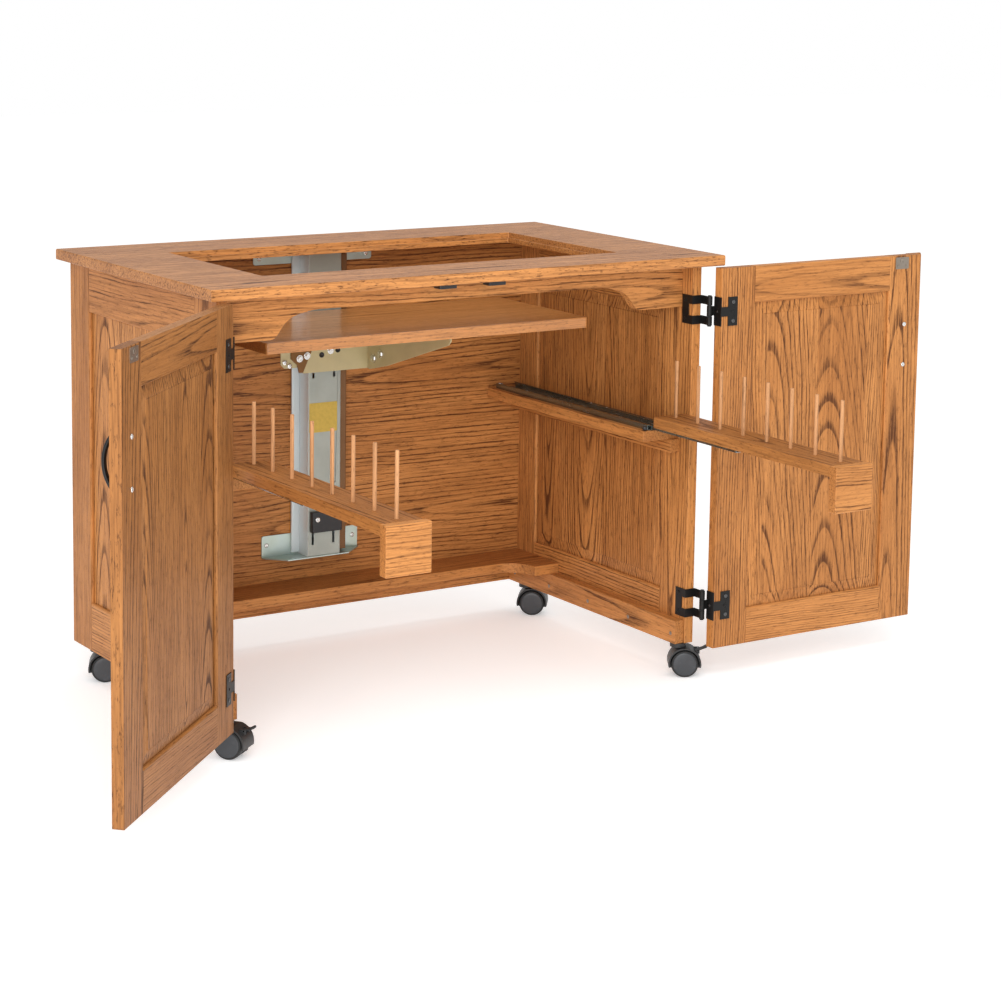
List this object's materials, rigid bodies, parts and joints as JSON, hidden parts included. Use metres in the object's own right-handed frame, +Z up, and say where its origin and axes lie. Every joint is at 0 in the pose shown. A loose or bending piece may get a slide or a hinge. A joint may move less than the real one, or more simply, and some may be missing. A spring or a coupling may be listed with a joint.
{
  "type": "sewing table",
  "caption": "Wooden sewing cabinet on casters with a machine cut-out, lift platform, pull-out thread racks and two panelled doors.",
  "frame": {"origin": "on the floor under the centre of the table top", "axes": "+X to the right seen from the front, along the table's width; +Y to the back; +Z up"},
  "size_m": [1.8106, 1.072, 0.775],
  "materials": {
    "oak": "satin lacquered red oak",
    "oak_light": "satin lacquered oak dowel",
    "black_iron": "black hinge finish",
    "galvanised": "galvanised sheet",
    "slide_steel": "zinc-plated",
    "bronze": "bronze zinc finish",
    "beige_paint": "satin beige powder coat",
    "screw_steel": "zinc-plated",
    "black_plastic": "moulded",
    "grey_plastic": "moulded"
  },
  "bodies": {
    "cabinet": {"top_board": "oak", "end_stiles_left": "oak", "end_rails_left": "oak", "end_panel_left": "oak", "end_stiles_right": "oak", "end_rails_right": "oak", "end_panel_right": "oak", "back_board_lower": "oak", "back_board_upper": "oak", "apron_front": "oak", "bottom_shelf": "oak", "case_cleats": "oak", "rack_rails": "oak", "case_screws": "screw_steel", "magnetic_catches": "black_plastic", "hinge_frame_leaves": "black_iron", "slide_channels": "slide_steel", "lift_column": "galvanised", "lift_guide": "bronze", "lift_top_bracket": "galvanised", "lift_base_bracket": "galvanised", "lift_stop": "black_plastic", "caster_plates": "black_plastic"},
    "lift_carriage": {"lift_platform": "oak", "carriage_beam": "beige_paint", "carriage_arm": "beige_paint", "carriage_bracket": "bronze"},
    "slide_member_left": {"slide_middle_left": "slide_steel"},
    "rack_left": {"slide_inner_left": "slide_steel", "rack_board_left": "oak", "rack_block_left": "oak", "rack_dowels_left": "oak_light"},
    "door_left": {"door_stiles_left": "oak", "door_rails_left": "oak", "door_panel_left": "oak", "door_pull_left": "black_iron", "door_strike_left": "screw_steel", "hinge_leaves_left": "black_iron"},
    "slide_member_right": {"slide_middle_right": "slide_steel"},
    "rack_right": {"slide_inner_right": "slide_steel", "rack_board_right": "oak", "rack_block_right": "oak", "rack_dowels_right": "oak_light"},
    "door_right": {"door_stiles_right": "oak", "door_rails_right": "oak", "door_panel_right": "oak", "door_pull_right": "black_iron", "door_strike_right": "screw_steel", "hinge_leaves_right": "black_iron", "door_astragal": "oak"},
    "caster_fr": {"caster_hood_fr": "black_plastic"},
    "wheels_fr": {"caster_wheels_fr": "grey_plastic"},
    "brake_fr": {"brake_lever_fr": "black_plastic"},
    "caster_fl": {"caster_hood_fl": "black_plastic"},
    "wheels_fl": {"caster_wheels_fl": "grey_plastic"},
    "brake_fl": {"brake_lever_fl": "black_plastic"},
    "caster_br": {"caster_hood_br": "black_plastic"},
    "wheels_br": {"caster_wheels_br": "grey_plastic"},
    "caster_bl": {"caster_hood_bl": "black_plastic"},
    "wheels_bl": {"caster_wheels_bl": "grey_plastic"}
  },
  "joints": [
    {"name": "lift_height", "type": "slide", "parent": "cabinet", "child": "lift_carriage", "axis": [0, 0, 1], "range_m": [-0.2, 0.12]},
    {"name": "rack_slide_left", "type": "slide", "parent": "cabinet", "child": "rack_left", "axis": [0, 1, 0], "range_m": [0, 0.497]},
    {"name": "rack_member_slide_left", "type": "slide", "parent": "cabinet", "child": "slide_member_left", "axis": [0, 1, 0], "range_m": [0, 0.2485]},
    {"name": "rack_slide_right", "type": "slide", "parent": "cabinet", "child": "rack_right", "axis": [0, 1, 0], "range_m": [0, 0.497]},
    {"name": "rack_member_slide_right", "type": "slide", "parent": "cabinet", "child": "slide_member_right", "axis": [0, 1, 0], "range_m": [0, 0.2485]},
    {"name": "door_hinge_left", "type": "hinge", "parent": "cabinet", "child": "door_left", "pos_m": [-0.483, -0.2945, 0.4], "axis": [0, 0, 1], "range_deg": [-43.8, 44.2]},
    {"name": "door_hinge_right", "type": "hinge", "parent": "cabinet", "child": "door_right", "pos_m": [0.483, -0.2945, 0.4], "axis": [0, 0, -1], "range_deg": [0, 88]},
    {"name": "caster_swivel_fr", "type": "hinge", "parent": "cabinet", "child": "caster_fr", "pos_m": [0.46, -0.256, 0.055], "axis": [0, 0, 1], "continuous": true},
    {"name": "wheel_roll_fr", "type": "hinge", "parent": "caster_fr", "child": "wheels_fr", "pos_m": [0.47006, -0.26254, 0.025], "axis": [0.5446, 0.8387, 0], "continuous": true},
    {"name": "brake_press_fr", "type": "hinge", "parent": "caster_fr", "child": "brake_fr", "pos_m": [0.4907, -0.27593, 0.04876], "axis": [0.5446, 0.8387, 0], "range_deg": [0, 16]},
    {"name": "caster_swivel_fl", "type": "hinge", "parent": "cabinet", "child": "caster_fl", "pos_m": [-0.46, -0.256, 0.055], "axis": [0, 0, 1], "continuous": true},
    {"name": "wheel_roll_fl", "type": "hinge", "parent": "caster_fl", "child": "wheels_fl", "pos_m": [-0.45261, -0.26546, 0.025], "axis": [0.788, 0.6157, 0], "continuous": true},
    {"name": "brake_press_fl", "type": "hinge", "parent": "caster_fl", "child": "brake_fl", "pos_m": [-0.43747, -0.28484, 0.04876], "axis": [0.788, 0.6157, 0], "range_deg": [0, 16]},
    {"name": "caster_swivel_br", "type": "hinge", "parent": "cabinet", "child": "caster_br", "pos_m": [0.46, 0.243, 0.055], "axis": [0, 0, 1], "continuous": true},
    {"name": "wheel_roll_br", "type": "hinge", "parent": "caster_br", "child": "wheels_br", "pos_m": [0.46946, 0.23561, 0.025], "axis": [0.6157, 0.788, 0], "continuous": true},
    {"name": "caster_swivel_bl", "type": "hinge", "parent": "cabinet", "child": "caster_bl", "pos_m": [-0.46, 0.243, 0.055], "axis": [0, 0, 1], "continuous": true},
    {"name": "wheel_roll_bl", "type": "hinge", "parent": "caster_bl", "child": "wheels_bl", "pos_m": [-0.44921, 0.23774, 0.025], "axis": [0.4384, 0.8988, 0], "continuous": true}
  ],
  "couplings": [
    {"joint": "rack_member_slide_left", "follows": "rack_slide_left", "ratio": 0.5},
    {"joint": "rack_member_slide_right", "follows": "rack_slide_right", "ratio": 0.5}
  ]
}
